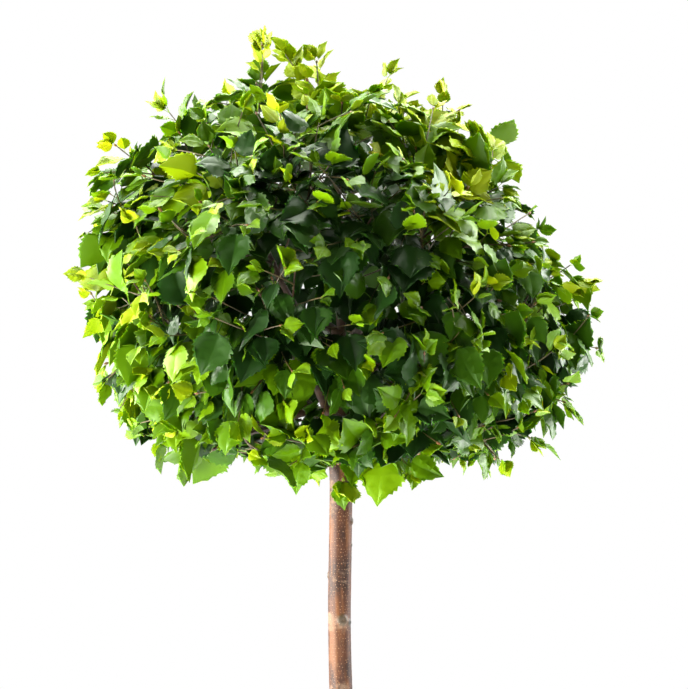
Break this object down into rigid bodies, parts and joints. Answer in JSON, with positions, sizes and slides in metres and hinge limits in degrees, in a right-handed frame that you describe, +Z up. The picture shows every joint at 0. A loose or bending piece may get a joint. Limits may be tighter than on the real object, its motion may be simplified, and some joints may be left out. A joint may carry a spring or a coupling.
{
  "type": "birch tree",
  "caption": "Birch grown as a standard: a slim bare stem with coppery bark that carries a dense, wide dome of toothed green leaves.",
  "frame": {"origin": "centre of the stem's flat cut at ground level", "axes": "+Z up along the stem; the view of the crown in which its tallest shoots lean to the left looks along +Y, with +X to the right"},
  "size_m": [0.6835, 0.6897, 1.5532],
  "materials": {
    "stem_bark": "smooth satin copper-brown bark with pale round lenticels, a thin grey film and pruning scars",
    "bough_bark": "thin dark red-brown bark, satin",
    "foliage": "leathery leaves, glossy and deep green, with fresh and yellow-green young ones at the shoot tips"
  },
  "bodies": {
    "root": {"trunk": "stem_bark", "bough_top": "bough_bark", "bough_upper_1": "bough_bark", "bough_upper_2": "bough_bark", "bough_upper_3": "bough_bark", "bough_upper_4": "bough_bark", "bough_upper_5": "bough_bark", "bough_girdle_1": "bough_bark", "bough_girdle_2": "bough_bark", "bough_girdle_3": "bough_bark", "bough_girdle_4": "bough_bark", "bough_girdle_5": "bough_bark", "bough_girdle_6": "bough_bark", "bough_skirt_1": "bough_bark", "bough_skirt_2": "bough_bark", "bough_skirt_3": "bough_bark", "bough_skirt_4": "bough_bark", "bough_skirt_5": "bough_bark", "bough_skirt_6": "bough_bark", "leaves_top": "foliage", "leaves_upper_1": "foliage", "leaves_upper_2": "foliage", "leaves_upper_3": "foliage", "leaves_upper_4": "foliage", "leaves_upper_5": "foliage", "leaves_girdle_1": "foliage", "leaves_girdle_2": "foliage", "leaves_girdle_3": "foliage", "leaves_girdle_4": "foliage", "leaves_girdle_5": "foliage", "leaves_girdle_6": "foliage", "leaves_skirt_1": "foliage", "leaves_skirt_2": "foliage", "leaves_skirt_3": "foliage", "leaves_skirt_4": "foliage", "leaves_skirt_5": "foliage", "leaves_skirt_6": "foliage"}
  },
  "joints": []
}
